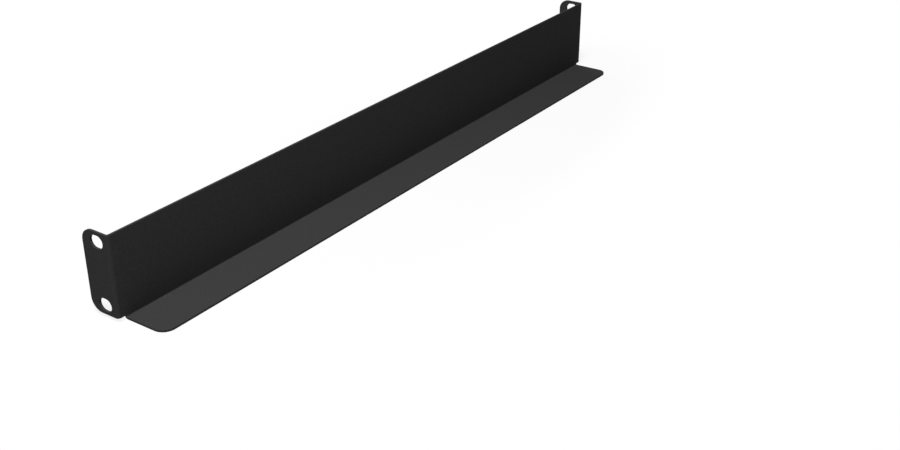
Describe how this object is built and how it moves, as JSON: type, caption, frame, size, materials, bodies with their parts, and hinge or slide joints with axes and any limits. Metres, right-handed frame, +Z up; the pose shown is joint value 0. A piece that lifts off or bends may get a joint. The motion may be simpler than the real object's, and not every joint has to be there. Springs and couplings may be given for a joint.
{
  "type": "equipment support bracket",
  "caption": "Long folded sheet-metal bracket for an equipment rack: an upright web with a ledge along its foot and a slotted mounting ear turned outwards at each end.",
  "frame": {"origin": "middle of the bracket's length and overall width, on the underside of the shelf", "axes": "+X from the ears' side towards the shelf's free edge, +Y along the length towards the rear ear, +Z up the web"},
  "size_m": [0.041, 0.416, 0.0439],
  "materials": {
    "powder_coat": "fine matt black powder coat over steel sheet"
  },
  "bodies": {
    "root": {"support_bracket": "powder_coat"}
  },
  "joints": []
}
